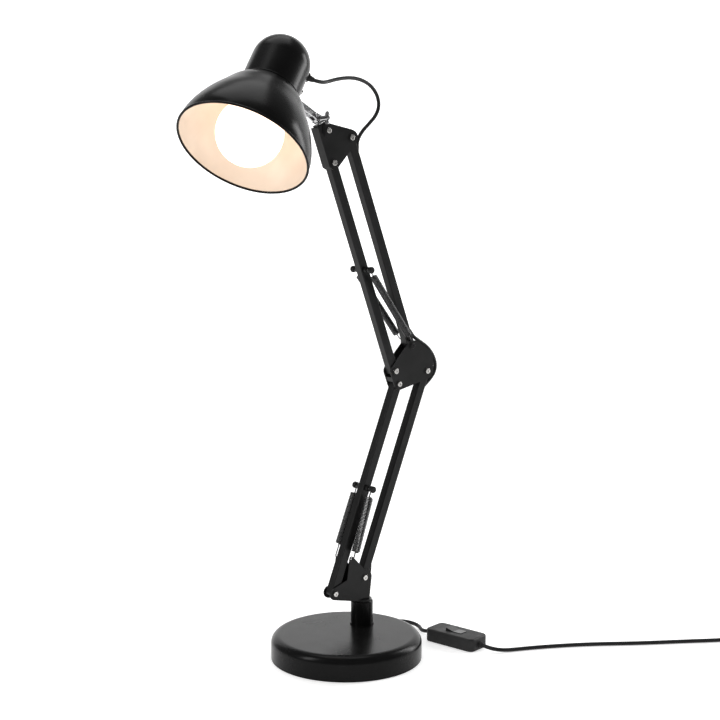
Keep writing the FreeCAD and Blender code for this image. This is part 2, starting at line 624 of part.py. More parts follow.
# ---------------------------------------------------------------- shade, lampholder and bulb
def bell_outline():
    """Outer line of the shade's bell as (r, z), from above the rim to the neck."""
    return [(RIM_R, 2.0), (RIM_R - 0.6, 11.0), (RIM_R - 5.2, 27.0), (RIM_R - 13.4, 45.0),
            (RIM_R - 23.2, 61.5), (RIM_R - 31.0, 74.0), (CAP_R + 3.4, 81.0), (CAP_R + 0.6, CAP_FROM - 0.4)]


def shade_bell():
    """Spun bell of one thickness, with a rolled rim and a neck that ends in a shelf inside the cap."""
    line = bell_outline()
    neck = CAP_R - SHEET - 0.1
    outer = Part.BSplineCurve()
    outer.interpolate([Vector(r, 0, z) for r, z in line])
    inner = Part.BSplineCurve()
    inner.interpolate([Vector(r - SHEET, 0, z - 0.35 * SHEET) for r, z in line])
    top, top_in = line[-1], (line[-1][0] - SHEET, line[-1][1] - 0.35 * SHEET)
    shelf_z = CAP_FROM + 6.0
    corners = [top, (neck, CAP_FROM - 0.4), (neck, shelf_z), (HOLDER_R, shelf_z), (HOLDER_R, shelf_z - SHEET),
               (neck - SHEET, shelf_z - SHEET), (neck - SHEET, top_in[1]), top_in]
    points = [Vector(r, 0, z) for r, z in corners]
    edges = [outer.toShape()]
    edges += [Part.LineSegment(a, b).toShape() for a, b in zip(points, points[1:])]
    edges.append(inner.toShape())
    edges.append(Part.LineSegment(inner.StartPoint, outer.StartPoint).toShape())
    wire = Part.Wire(Part.__sortEdges__(edges))
    bell = Part.Face(wire).revolve(Vector(), Z_AXIS, 360)
    bead = Part.makeTorus(RIM_R - 0.5, 1.4, Vector(0, 0, 1.4))
    return on_shade(bell.fuse(bead))


def cap_solid(radius, bottom, top):
    return Part.makeCylinder(radius, top - bottom, Vector(0, 0, bottom)).fuse(
        Part.makeSphere(radius, Vector(0, 0, top)))


def grommet_axis():
    """Where the cable's grommet sits on the dome, and its outward direction, in the shade's axes."""
    rise = GROMMET_AT - CAP_TO
    lift = math.asin(rise / CAP_R)
    round_cap = math.radians(-GROMMET_ANGLE)
    out = Vector(math.cos(lift) * math.cos(round_cap), math.cos(lift) * math.sin(round_cap), math.sin(lift))
    return Vector(0, 0, CAP_TO) + out * CAP_R, out


def cap_screw_places():
    """Root and direction of the two screws that fix the yoke to the cap, in the shade's axes."""
    places = []
    for side in (-1, 1):
        angle = math.radians(side * 17)
        out = Vector(math.cos(angle), math.sin(angle), 0)
        places.append((out * (CAP_R - 3.5) + Z_AXIS * 110, out))
    return places


def shade_cap():
    """Drawn cap over the bell's neck: a straight wall with a beaded edge and a round dome."""
    outer = cap_solid(CAP_R, CAP_FROM, CAP_TO)
    inner = cap_solid(CAP_R - SHEET, CAP_FROM - 1, CAP_TO)
    keep = Part.makeBox(100, 100, 100, Vector(-50, -50, CAP_FROM))
    shell = outer.cut(inner).common(keep)
    bead = Part.makeTorus(CAP_R - 0.3, 0.9, Vector(0, 0, CAP_FROM + 0.9))
    bead = bead.cut(Part.makeCylinder(CAP_R - SHEET, 10, Vector(0, 0, CAP_FROM - 4)))
    at, out = grommet_axis()
    tools = [Part.makeCylinder(3.9, 12, at - out * 6, out)]
    tools += [Part.makeCylinder(1.5, 12, root, way) for root, way in cap_screw_places()]
    return on_shade(cut(shell.fuse(bead), tools))


def cap_grommet():
    """Rubber grommet in the cap, with a short tapered sleeve round the cable."""
    at, out = grommet_axis()
    inside = Part.makeCylinder(5.4, 1.4, at - out * (SHEET + 2.1), out)
    neck = Part.makeCylinder(3.8, SHEET + 2.8, at - out * (SHEET + 1.6), out)
    flange = Part.makeCylinder(5.4, 1.8, at + out * 0.5, out)
    sleeve = Part.makeCone(4.0, CABLE_R + 0.6, GROMMET_LONG - 1.2, at + out * 1.2, out)
    bore = Part.makeCylinder(CABLE_R, 30, at - out * 15, out)
    return on_shade(cut(fused([inside, neck, flange, sleeve]), [bore]))


GROMMET_LONG = 9.0


def shade_ring():
    """Threaded ring that clamps the bell's shelf against the lampholder's shoulder."""
    z = CAP_FROM + 6.0 - SHEET
    ring = Part.makeCylinder(25.5, 5.0, Vector(0, 0, z - 5.0))
    ring = rounded(ring, 1.0, lambda e: e.BoundBox.ZMax < z - 4.9)
    return on_shade(ring.cut(Part.makeCylinder(HOLDER_R, 20, Vector(0, 0, z - 10))))


def lampholder():
    """Moulded E27 holder: threaded skirt, shoulder on the shelf, body and a domed back."""
    shelf = CAP_FROM + 6.0
    outline = [(15.2, shelf - 14), (HOLDER_R, shelf - 14), (HOLDER_R, shelf), (24, shelf), (24, shelf + 3),
               (HOLDER_R + 1, shelf + 3), (HOLDER_R - 1, shelf + 24), (12, shelf + 30), (6.5, shelf + 31),
               (6.5, shelf + 36), (0, shelf + 36), (0, shelf + 17), (15.2, shelf + 17)]
    return on_shade(revolved(outline))


def bulb_globe():
    """Glass globe with a neck, as a thin closed shell open into the screw cap."""
    wall = 0.8
    shells = []
    for shrink in (0, wall):
        ball = Part.makeSphere(GLOBE_R - shrink, Vector(0, 0, GLOBE_AT))
        shoulder_z = GLOBE_AT + 0.8 * GLOBE_R
        shoulder_r = 0.6 * GLOBE_R
        neck = Part.makeCone(shoulder_r - shrink, 13.0 - shrink, 73 - shoulder_z, Vector(0, 0, shoulder_z))
        collar_z = Part.makeCylinder(13.0 - shrink, 3 + shrink, Vector(0, 0, 72.9))
        shells.append(ball.fuse(neck).fuse(collar_z))
    return on_shade(shells[0].cut(shells[1]).removeSplitter())


def bulb_cap():
    """E27 screw shell with rounded threads, a black insulator and the centre contact."""
    z, turns = 76.0, 5
    outline = [(0, z + 0.1), (13.0, z + 0.1)]
    for i in range(turns):
        low = z + 1.0 + 3.6 * i
        outline += [(12.6, low), (13.2, low + 0.9), (13.2, low + 1.9), (12.4, low + 2.8)]
    top = z + 1.0 + 3.6 * turns
    outline += [(12.4, top + 1), (9.5, top + 4), (4.8, top + 5), (4.8, top + 6.6), (0, top + 6.6)]
    return on_shade(revolved(outline))


def strip_outline():
    """One yoke strip beside the knuckle, as two hulls in the shade's (x, z): wide root, narrow end."""
    wide = [(34.5, 101.5, 3.6), (67.5, 109.6, 3.4)]
    narrow = [(66, 109.3, 2.5), (KNUCKLE_BACK, KNUCKLE_HEIGHT, 4.5)]
    return wide, narrow


def yoke():
    """Chrome pressing: a saddle round the cap and two strips that reach back to the knuckle."""
    saddle = Part.makeCylinder(CAP_R + 1.4, 25, Vector(0, 0, 95)).cut(
        Part.makeCylinder(CAP_R, 25, Vector(0, 0, 95)))
    saddle = saddle.common(Part.makeBox(30, 26, 25, Vector(20, -13, 95)))
    saddle = saddle.cut(Part.makeCylinder(3, 80, Vector(0, 0, 90), Vector(1, 0, 0)))
    shapes = [saddle]
    for side in (-1, 1):
        for discs in strip_outline():
            face = Part.Face(Part.Wire(hull_edges(discs)))
            strip = face.extrude(Y_AXIS * 2.0)
            strip.translate(Y_AXIS * (2.7 if side > 0 else -4.7))
            shapes.append(strip)
    inside = Part.makeCylinder(CAP_R, 60, Vector(0, 0, 80))
    hole = Part.makeCylinder(2.0 + RUNNING_GAP, 40, Vector(KNUCKLE_BACK, -20, KNUCKLE_HEIGHT), Y_AXIS)
    screws = [Part.makeCylinder(1.5, 20, root, out) for root, out in cap_screw_places()]
    return on_shade(cut(fused(shapes), [inside, hole] + screws))


def yoke_screws():
    """Two round-head screws through the saddle and the cap."""
    screws = []
    for root, out in cap_screw_places():
        head = Part.makeCylinder(3.0, 1.9, root + out * (3.5 + 1.4), out)
        slot_way = out.cross(Z_AXIS)
        slot = Part.makeBox(6.4, 0.8, 0.8)
        slot = placed(slot, root + out * (3.5 + 1.4 + 1.2) - slot_way * 3.2 - Z_AXIS * 0.4,
                      slot_way, Z_AXIS, out * -1 if slot_way.cross(Z_AXIS).dot(out) < 0 else out)
        shank = Part.makeCylinder(1.5, 5.0, root, out)
        screws.append(fused([head.cut(slot), shank]))
    return on_shade(Part.makeCompound(screws))


# ---------------------------------------------------------------- cable loops
LOOP_INSIDE = 38.0            # where a loop meets the straight cable, from the bar's pivot


def loop_end(pivot, up, sign):
    """A loop's way into a bar: from beside the pivot, in through the hole, and on to the bar's centre."""
    steps = [(17.0, 7.4), (28.0, 2.3), (LOOP_INSIDE, 0.0)]
    return [arm_point(beside(pivot, up, sign * along, back)) for along, back in steps]


def head_loop():
    """Route of the cable from the cap's grommet, over the head bracket, into the upper rear bar."""
    at, out = grommet_axis()
    tip = at + out * GROMMET_LONG
    start = shade_point(tip.x, tip.y, tip.z)
    free = [(-35.6, -1.6, 672.9), (-24.0, 3.2, 674.4), (-12.6, 6.2, 677.4), (2.0, 9.2, 680.4), (18.0, 12.2, 682.0),
            (34.0, 15.0, 680.6), (48.4, 17.0, 675.4), (59.0, 18.2, 665.6), (62.6, 18.4, 652.6),
            (57.6, 18.0, 641.0), (47.0, 17.8, 631.0), (36.2, 17.8, 621.4), (29.4, 17.8, 610.6)]
    return [tuple(start)] + free + loop_end(HEAD_REAR, UPPER_UP, -1)


def elbow_loop():
    """Route of the cable from the upper rear bar, round the elbow's rear, into the lower rear bar."""
    free = [(115.4, ARM_Y, 375.6), (126.0, ARM_Y, 369.2), (138.0, ARM_Y, 361.6), (147.0, ARM_Y, 351.0),
            (151.2, ARM_Y, 339.6), (149.4, ARM_Y, 329.4), (142.6, ARM_Y, 321.8)]
    upper = loop_end(ELBOW_UPPER_REAR, UPPER_UP, 1)
    lower = loop_end(ELBOW_LOWER_REAR, LOWER_UP, -1)
    return list(reversed(upper)) + free + lower


def foot_run():
    """Route of the cable from the lower rear bar, between the bracket's plates, down the hollow pin."""
    upper = loop_end(LOWER_REAR, LOWER_UP, 1)
    free = [(47.6, ARM_Y, 88.6), (43.6, ARM_Y, 78.4), (38.6, ARM_Y, 70.2), (POST_X, ARM_Y, 60.0),
            (POST_X, ARM_Y, CABLE_MEETS_Z + 0.8)]
    return list(reversed(upper)) + free


HEAD_SPLITS = (7, 11)         # points of the head loop where one length of tube meets the next
ELBOW_SPLITS = (6,)


def split_route(route, splits):
    """The route cut at the middles of the runs that end at the given points."""
    pieces, start = [], [route[0]]
    last = 1
    for index in splits:
        a, b = route[index - 1], route[index]
        middle = tuple((p + q) / 2 for p, q in zip(a, b))
        pieces.append(start + route[last:index] + [middle])
        start, last = [middle], index
    pieces.append(start + route[last:])
    return pieces


# ---------------------------------------------------------------- mains lead, switch, coil and plug
def lead_to_switch():
    tip = REAR * GLAND_OUT
    return [(tip.x, tip.y, GLAND_Z), (108.76, 53.04, 7.4), (119.74, 52.43, 6.7), (128.97, 46.55, 5.6),
            (134.17, 36.92, 4.5), (134.08, 25.97, 3.6), (128.88, 16.34, 3.3), (125.68, 8.33, 4.3),
            (125.62, -0.29, 5.9), (SWITCH_START.x, SWITCH_START.y, SWITCH_LEAD_Z)]


SWITCH_WAY = heading(SWITCH_HEADING)
SWITCH_START = Vector(126.65, -5.13, 0)
BOSS = 4.0                    # rubber boss at each end of the switch
SWITCH_CENTRE = SWITCH_START + SWITCH_WAY * (SWITCH_LONG / 2)
SWITCH_END = SWITCH_START + SWITCH_WAY * SWITCH_LONG


def lead_from_switch():
    return [(SWITCH_END.x, SWITCH_END.y, SWITCH_LEAD_Z), (145.21, -92.43, 5.6), (150.3, -99.6, 4.4),
            (158.4, -104.6, 3.3), (168.6, -107.7, 2.5), (184.0, -113.4, 2.5), (212.0, -125.2, 2.5),
            (258.0, -149.0, 2.5),
            (310.0, -184.0, 2.5), (358.0, -211.5, 2.5), (396.0, -234.5, 2.5), (420.6, -246.0, 2.5),
            (444.7, -255.9, 2.5)]


def on_switch(shape):
    side = Z_AXIS.cross(SWITCH_WAY)
    return placed(shape, SWITCH_CENTRE, SWITCH_WAY, side, Z_AXIS)


def switch_block(z_from, z_to, inset):
    """Rounded bar between two heights, narrower towards its two ends."""
    half_l, half_w = SWITCH_LONG / 2 - BOSS - inset, SWITCH_WIDE / 2 - inset
    corner = 7.0
    discs = [(sx * (half_l - corner), sy * (half_w - corner), corner)
             for sx, sy in ((1, -1), (1, 1), (-1, 1), (-1, -1))]
    face = Part.Face(Part.Wire(hull_edges(discs)))
    face.rotate(Vector(), Vector(1, 0, 0), 90)
    block = face.extrude(Z_AXIS * (z_to - z_from))
    block.translate(Z_AXIS * z_from)
    return block


SEAM_Z = 6.6
ROCKER_LONG, ROCKER_WIDE = 23.0, 12.0
ROCKER_TILT = 7.0


def lead_hole():
    return Part.makeCylinder(LEAD_R, 2 * SWITCH_LONG, Vector(-SWITCH_LONG, 0, SWITCH_LEAD_Z), Vector(1, 0, 0))


def boss_halves(z_low, z_high):
    """The part between two heights of the round boss at each end of the switch."""
    bosses = []
    for side in (-1, 1):
        root = Vector(side * (SWITCH_LONG / 2 - BOSS - 1.5), 0, SWITCH_LEAD_Z)
        bosses.append(Part.makeCone(4.8, 3.4, BOSS + 1.5, root, Vector(side, 0, 0)))
    box = Part.makeBox(90, 40, z_high - z_low, Vector(-45, -20, z_low))
    return [boss.common(box) for boss in bosses]


def switch_bottom():
    shell = switch_block(0.2, SEAM_Z, 0.0)
    shell = rounded(shell, 1.4, lambda e: e.BoundBox.ZMax < 0.3)
    hollow = switch_block(1.8, SEAM_Z, 1.8)
    return on_switch(cut(fused([shell.cut(hollow)] + boss_halves(0.6, SEAM_Z)), [lead_hole()]))


def switch_top():
    shell = switch_block(SEAM_Z, SWITCH_HIGH, 0.0)
    shell = rounded(shell, 2.4, lambda e: e.BoundBox.ZMin > SWITCH_HIGH - 0.1)
    hollow = switch_block(SEAM_Z, SWITCH_HIGH - 1.8, 1.8)
    window = Part.makeBox(ROCKER_LONG + 0.8, ROCKER_WIDE + 0.8, 10,
                          Vector(-ROCKER_LONG / 2 - 0.4, -ROCKER_WIDE / 2 - 0.4, SWITCH_HIGH - 5))
    return on_switch(cut(fused([shell.cut(hollow)] + boss_halves(SEAM_Z, 12)), [lead_hole(), window]))


def switch_rocker():
    """Rocker with two sloping faces, tipped to its on side."""
    outline = [(-ROCKER_LONG / 2, -1.8), (ROCKER_LONG / 2, -1.8), (ROCKER_LONG / 2, 2.6), (0, 1.2),
               (-ROCKER_LONG / 2, 2.6)]
    wire = Part.makePolygon([Vector(x, -ROCKER_WIDE / 2, z) for x, z in outline + outline[:1]])
    rocker = Part.Face(wire).extrude(Y_AXIS * ROCKER_WIDE)
    rocker.rotate(Vector(), Y_AXIS, ROCKER_TILT)
    rocker.translate(Z_AXIS * (SWITCH_HIGH - 0.6))
    return on_switch(rocker)


def switch_screws():
    """Two screws up through the bottom shell into posts of the top shell."""
    screws = []
    for side in (-1, 1):
        x = side * 22.0
        head = Part.makeCylinder(2.4, 1.2, Vector(x, side * 6, 1.8))
        shank = Part.makeCylinder(1.3, 7.0, Vector(x, side * 6, 3.0))
        screws.append(fused([head, shank]))
    return on_switch(Part.makeCompound(screws))


def lead_coil():
    """The put-away length of lead: the outer shape of its round coil."""
    reach = (COIL_COLUMNS - 1) / 2 * COIL_PITCH + LEAD_R
    height = COIL_LAYERS * 2 * LEAD_R
    foot = Vector(COIL_X, COIL_Y, 0.1)
    ring = Part.makeCylinder(COIL_R + reach, height, foot)
    return ring.cut(Part.makeCylinder(COIL_R - reach, height, foot))


PLUG_HEADING = -78.0
PLUG_SLEEVE = 24.0
PLUG_BODY = 34.0
PLUG_Z = 7.3


def on_plug(shape):
    """From the plug's axes (x towards its pins) to the lamp's: it lies flat beside the coil."""
    way = heading(PLUG_HEADING)
    reach = COIL_R + (COIL_COLUMNS - 1) / 2 * COIL_PITCH
    side = Z_AXIS.cross(way)
    start = Vector(COIL_X, COIL_Y, 0) + side * reach + way * 2.0
    return placed(shape, start + Z_AXIS * PLUG_Z, way, side, Z_AXIS)


def plug_body():
    """Flat two-pin plug with a waist and a ribbed tapered sleeve towards the lead."""
    sleeve = Part.makeCone(LEAD_R + 0.5, 4.4, PLUG_SLEEVE, Vector(), Vector(1, 0, 0))
    ribs = []
    for i in range(4):
        x = 6.0 + 4.2 * i
        ring = Part.makeCylinder(7, 1.3, Vector(x, 0, 0), Vector(1, 0, 0))
        ribs.append(ring.cut(Part.makeCylinder(2.9, 1.3, Vector(x, 0, 0), Vector(1, 0, 0))))
    discs = [(PLUG_SLEEVE + 3, 0, 6.0), (PLUG_SLEEVE + PLUG_BODY - 5, -8.0, 5.0),
             (PLUG_SLEEVE + PLUG_BODY - 5, 8.0, 5.0)]
    face = Part.Face(Part.Wire(hull_edges(discs)))
    face.rotate(Vector(), Vector(1, 0, 0), 90)
    body = face.extrude(Z_AXIS * 14.4)
    body.translate(Z_AXIS * -7.2)
    body = rounded(body, 2.6, lambda e: e.BoundBox.ZLength < 1e-3)
    roots = [pin_root(y) for y in (-PLUG_PIN_GAP / 2, PLUG_PIN_GAP / 2)]
    return on_plug(cut(fused([sleeve.cut(Part.makeCompound(ribs)), body]), roots))


def pin_root(y):
    """The thinner end of a pin, moulded into the plug's body and showing a little in front of it."""
    face = PLUG_SLEEVE + PLUG_BODY
    return Part.makeCylinder(PIN_ROOT_R, PIN_ROOT_LONG, Vector(face + PIN_NECK - PIN_ROOT_LONG, y, 0),
                             Vector(1, 0, 0))


def plug_pins():
    pins = []
    face = PLUG_SLEEVE + PLUG_BODY
    for y in (-PLUG_PIN_GAP / 2, PLUG_PIN_GAP / 2):
        pin = Part.makeCylinder(PLUG_PIN_R, PLUG_PIN_LONG - PIN_NECK, Vector(face + PIN_NECK, y, 0),
                                Vector(1, 0, 0))
        tip = face + PLUG_PIN_LONG
        pin = rounded(pin, PIN_TIP_ROUND, lambda e: e.BoundBox.XMin > tip - 0.1)
        pins.append(fused([pin, pin_root(y)]))
    return on_plug(Part.makeCompound(pins))


# ---------------------------------------------------------------- all the nodes
def make_parts():
    parts["base_cover"] = base_cover()
    parts["base_weight"] = base_weight()
    parts["base_plate"] = base_plate()
    parts["base_pad"] = base_pad()
    parts["base_screws"] = base_screws()
    parts["collar"] = collar()
    parts["collar_nut"] = collar_nut()
    parts["lead_gland"] = lead_gland()
    parts["base_inner_cable"] = base_inner_cable()
    parts["swivel_pin"] = swivel_pin()
    parts["swivel_clip"] = swivel_clip()
    parts["swivel_washer"] = swivel_washer()
    parts["lower_bracket"] = lower_bracket()
    parts["lower_pivot_bolts"] = pivot_bolts([LOWER_FRONT, LOWER_REAR])
    parts["lower_front_bar"] = bar(LOWER_FRONT, ELBOW_LOWER_FRONT, LOWER_UP, cross_pin=True)
    parts["lower_rear_bar"] = bar(LOWER_REAR, ELBOW_LOWER_REAR, LOWER_UP, holes=True)
    parts["lower_cross_pin"] = cross_pin(LOWER_FRONT, ELBOW_LOWER_FRONT)
    parts["elbow_bracket"] = elbow_bracket()
    parts["elbow_pivot_bolts"] = pivot_bolts(
        [ELBOW_LOWER_FRONT, ELBOW_LOWER_REAR, ELBOW_UPPER_FRONT, ELBOW_UPPER_REAR])
    parts["upper_front_bar"] = bar(ELBOW_UPPER_FRONT, HEAD_FRONT, UPPER_UP, cross_pin=True)
    parts["upper_rear_bar"] = bar(ELBOW_UPPER_REAR, HEAD_REAR, UPPER_UP, holes=True)
    parts["upper_cross_pin"] = cross_pin(ELBOW_UPPER_FRONT, HEAD_FRONT)
    parts["lower_inner_cable"] = inner_cable("lower_inner_cable", LOWER_REAR, ELBOW_LOWER_REAR, LOWER_UP)
    parts["upper_inner_cable"] = inner_cable("upper_inner_cable", ELBOW_UPPER_REAR, HEAD_REAR, UPPER_UP)
    lower_top = middle_of(LOWER_FRONT, ELBOW_LOWER_FRONT)
    upper_top = middle_of(ELBOW_UPPER_FRONT, HEAD_FRONT)
    parts["lower_spring_near"] = spring(lower_top, LOWER_HOOK_NEAR, -1, LOWER_SPRING_R, 9.5, 8.5)
    parts["lower_spring_far"] = spring(lower_top, LOWER_HOOK_FAR, 1, LOWER_SPRING_R, 9.5, 16.0)
    parts["upper_spring_near"] = spring(upper_top, ELBOW_HOOK, -1, UPPER_SPRING_R, 9.5, 8.5)
    parts["upper_spring_far"] = spring(upper_top, ELBOW_HOOK, 1, UPPER_SPRING_R, 9.5, 8.5)
    parts["head_bracket"] = head_bracket()
    parts["head_pivot_bolts"] = pivot_bolts([HEAD_FRONT, HEAD_REAR])
    parts["head_block"] = head_block()
    parts["block_screw"] = block_screw()
    parts["head_stem"] = head_stem()
    parts["knuckle_bolt"] = knuckle_bolt()
    parts["wing_nut"] = wing_nut()
    parts["yoke"] = yoke()
    parts["yoke_screws"] = yoke_screws()
    parts["shade_bell"] = shade_bell()
    parts["shade_cap"] = shade_cap()
    parts["shade_ring"] = shade_ring()
    parts["lampholder"] = lampholder()
    parts["bulb_globe"] = bulb_globe()
    parts["bulb_cap"] = bulb_cap()
    parts["cap_grommet"] = cap_grommet()
    for i, route in enumerate(split_route(head_loop(), HEAD_SPLITS)):
        name = ("head_loop_top", "head_loop_middle", "head_loop_foot")[i]
        parts[name] = cord_tube(name, route, CABLE_R)
    for i, route in enumerate(split_route(elbow_loop(), ELBOW_SPLITS)):
        name = ("elbow_loop_top", "elbow_loop_foot")[i]
        parts[name] = cord_tube(name, route, CABLE_R)
    parts["foot_run"] = cord_tube("foot_run", foot_run(), CABLE_R)
    parts["lead_to_switch"] = cord_tube("lead_to_switch", lead_to_switch(), LEAD_R)
    parts["lead_from_switch"] = cord_tube("lead_from_switch", lead_from_switch(), LEAD_R)
    parts["switch_bottom"] = switch_bottom()
    parts["switch_top"] = switch_top()
    parts["switch_rocker"] = switch_rocker()
    parts["switch_screws"] = switch_screws()
    parts["lead_coil"] = lead_coil()
    parts["plug_body"] = plug_body()
    parts["plug_pins"] = plug_pins()


make_parts()
os.makedirs("parts", exist_ok=True)
for part_name, part_shape in parts.items():
    if not part_shape.isValid() or not part_shape.Solids:
        print("CHECK", part_name, "valid", part_shape.isValid(), "solids", len(part_shape.Solids))
    part_shape.exportStep("parts/" + part_name + ".step")
print(len(parts), "nodes")
for joint_name, joint_at in (("lower rear", LOWER_REAR), ("lower front", LOWER_FRONT),
                             ("elbow lower rear", ELBOW_LOWER_REAR), ("elbow upper rear", ELBOW_UPPER_REAR),
                             ("elbow upper front", ELBOW_UPPER_FRONT), ("head rear", HEAD_REAR)):
    print("pivot", joint_name, [round(v, 3) for v in joint_at])
for vector_name, vector in (("stem axis", STEM), ("stem foot", STEM_FOOT), ("knuckle", KNUCKLE),
                            ("tilt axis", TILT_AXIS), ("shade up", SHADE_UP), ("shade rear", SHADE_REAR),
                            ("shade mouth", SHADE_MOUTH), ("switch centre", SWITCH_CENTRE)):
    print(vector_name, [round(v, 5) for v in vector])
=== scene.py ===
import math

import bpy
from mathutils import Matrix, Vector


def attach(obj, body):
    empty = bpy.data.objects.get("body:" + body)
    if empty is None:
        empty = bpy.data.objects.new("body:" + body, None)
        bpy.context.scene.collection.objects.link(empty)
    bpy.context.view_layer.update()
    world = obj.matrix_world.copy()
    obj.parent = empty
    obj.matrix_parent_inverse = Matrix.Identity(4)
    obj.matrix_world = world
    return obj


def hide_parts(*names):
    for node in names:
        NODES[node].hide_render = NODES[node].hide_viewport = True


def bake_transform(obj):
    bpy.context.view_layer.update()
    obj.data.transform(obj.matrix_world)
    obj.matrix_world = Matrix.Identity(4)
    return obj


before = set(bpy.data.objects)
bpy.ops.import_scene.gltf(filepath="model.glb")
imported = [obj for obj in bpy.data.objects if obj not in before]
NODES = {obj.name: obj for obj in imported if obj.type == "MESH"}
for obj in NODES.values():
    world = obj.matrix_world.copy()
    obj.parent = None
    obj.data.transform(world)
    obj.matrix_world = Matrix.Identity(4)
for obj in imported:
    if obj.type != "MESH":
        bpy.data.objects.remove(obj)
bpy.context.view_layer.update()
MM = 0.001
ARM_Y = 17.8                  # plane of the arms, in mm like every route and spring below
CABLE_R = 2.2
LEAD_R = 2.4

CAMERA_PLACE = (-0.9165, -1.2467, 0.5440)
CAMERA_WAY = (0.5964, 0.7937, -0.1200)
CAMERA_LENS = 66.865
SENSOR_WIDTH = 36.0
CAMERA_REACH = 50.0


# ---------------------------------------------------------------- camera
def add_camera():
    data = bpy.data.cameras.new("photo_camera")
    data.lens = CAMERA_LENS
    data.sensor_width = SENSOR_WIDTH
    data.clip_end = CAMERA_REACH
    camera = bpy.data.objects.new("photo_camera", data)
    camera.location = CAMERA_PLACE
    camera.rotation_euler = Vector(CAMERA_WAY).to_track_quat("-Z", "Y").to_euler()
    bpy.context.scene.collection.objects.link(camera)
    bpy.context.scene.camera = camera


# ---------------------------------------------------------------- cords
CURVE_STEPS = 10
BEVEL_STEPS = 5


def spline_curve(name, points_mm, radius_mm):
    """A round cord on one smooth NURBS line through the route's points."""
    data = bpy.data.curves.new(name, "CURVE")
    data.dimensions = "3D"
    data.resolution_u = CURVE_STEPS
    spline = data.splines.new("NURBS")
    spline.points.add(len(points_mm) - 1)
    for point, place in zip(spline.points, points_mm):
        point.co = (place[0] * MM, place[1] * MM, place[2] * MM, 1.0)
    spline.order_u = 3
    spline.use_endpoint_u = True
    data.bevel_depth = radius_mm * MM
    data.bevel_resolution = BEVEL_STEPS
    data.use_fill_caps = True
    curve = bpy.data.objects.new(name, data)
    bpy.context.scene.collection.objects.link(curve)
    return curve


def centreline(curve):
    """Points along a curve's own line, without its thickness."""
    depth, caps = curve.data.bevel_depth, curve.data.use_fill_caps
    curve.data.bevel_depth, curve.data.use_fill_caps = 0.0, False
    mesh = bpy.data.meshes.new_from_object(curve)
    path = [tuple(v.co) for v in mesh.vertices]
    curve.data.bevel_depth, curve.data.use_fill_caps = depth, caps
    return path


def tube_on_spline(name, points_mm, radius_mm):
    """The cord as a mesh tube, with the line through its middle."""
    curve = spline_curve(name, points_mm, radius_mm)
    path = centreline(curve)
    mesh = bpy.data.meshes.new_from_object(curve)
    bpy.data.objects.remove(curve)
    tube = bpy.data.objects.new(name, mesh)
    bpy.context.scene.collection.objects.link(tube)
    for polygon in mesh.polygons:
        polygon.use_smooth = True
    return tube, path


def bending_cord(name, node, points_mm):
    """A length of cable between two bodies, drawn as a still tube along its route in place of its part."""
    tube, path = tube_on_spline(name, points_mm, CABLE_R)
    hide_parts(node)
    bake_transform(tube)
    return tube


def arm_route(pairs):
    return [(x, ARM_Y, z) for x, z in pairs]


# The routes' points, the same as the CAD cables'.
HEAD_TOP = [(-45.97, -1.75, 674.94), (-35.6, -1.6, 672.9), (-24.0, 3.2, 674.4), (-12.6, 6.2, 677.4),
            (2.0, 9.2, 680.4), (18.0, 12.2, 682.0), (34.0, 15.0, 680.6), (41.2, 16.0, 678.0)]
HEAD_MIDDLE = [(41.2, 16.0, 678.0), (48.4, 17.0, 675.4), (59.0, 18.2, 665.6), (62.6, 18.4, 652.6),
               (57.6, 18.0, 641.0), (52.3, 17.9, 636.0)]
HEAD_FOOT = [(52.3, 17.9, 636.0), (47.0, 17.8, 631.0), (36.2, 17.8, 621.4), (29.4, 17.8, 610.6)]
HEAD_FOOT += arm_route([(29.62, 600.5), (28.63, 588.42), (29.93, 578.24)])
ELBOW_TOP = arm_route([(95.07, 401.36), (100.68, 392.77), (109.27, 384.21), (115.4, 375.6), (126.0, 369.2),
                       (138.0, 361.6), (142.5, 356.3)])
ELBOW_FOOT = arm_route([(142.5, 356.3), (147.0, 351.0), (151.2, 339.6), (149.4, 329.4), (142.6, 321.8),
                        (132.96, 314.22), (124.18, 305.85), (118.38, 297.39)])
FOOT_RUN = arm_route([(49.72, 123.01), (48.2, 112.86), (48.91, 100.76), (47.6, 88.6), (43.6, 78.4),
                      (38.6, 70.2), (36.5, 60.0), (36.5, 42.0), (36.5, 19.5)])
TO_SWITCH = [(98.87, 48.22, 7.5), (108.76, 53.04, 7.4), (119.74, 52.43, 6.7), (128.97, 46.55, 5.6),
             (134.17, 36.92, 4.5), (134.08, 25.97, 3.6), (128.88, 16.34, 3.3), (125.68, 8.33, 4.3),
             (125.62, -0.29, 5.9), (126.65, -5.13, 6.6)]
FROM_SWITCH = [(143.28, -83.38, 6.6), (145.21, -92.43, 5.6), (150.3, -99.6, 4.4), (158.4, -104.6, 3.3),
               (168.6, -107.7, 2.5), (184.0, -113.4, 2.5), (212.0, -125.2, 2.5), (258.0, -149.0, 2.5),
               (310.0, -184.0, 2.5), (358.0, -211.5, 2.5), (396.0, -234.5, 2.5), (420.6, -246.0, 2.5),
               (444.7, -255.9, 2.5)]
COIL_CENTRE = (430.0, -289.0)
COIL_START = 66.0             # direction of the coil's start, in degrees from +X
COIL_RADII = (36.2, 31.3, 26.3, 21.4)
LOWER_LAYER, UPPER_LAYER = 2.5, 7.4
LOWER_TURN, UPPER_TURN = 300, 240     # degrees wound at one radius
COIL_SHIFT = 60               # degrees taken to move to the next radius or layer
COIL_END = 2574
COIL_WIDEN = 1.015            # the spline cuts corners by this much
COIL_FIRST, COIL_LAST, COIL_STEP = 18, 2565, 20
PLUG_HEADING = math.radians(-78.0)
PLUG_Z = 7.3
PLUG_RUN = (0.0, 6.0, 12.0)   # points of the straight run into the plug


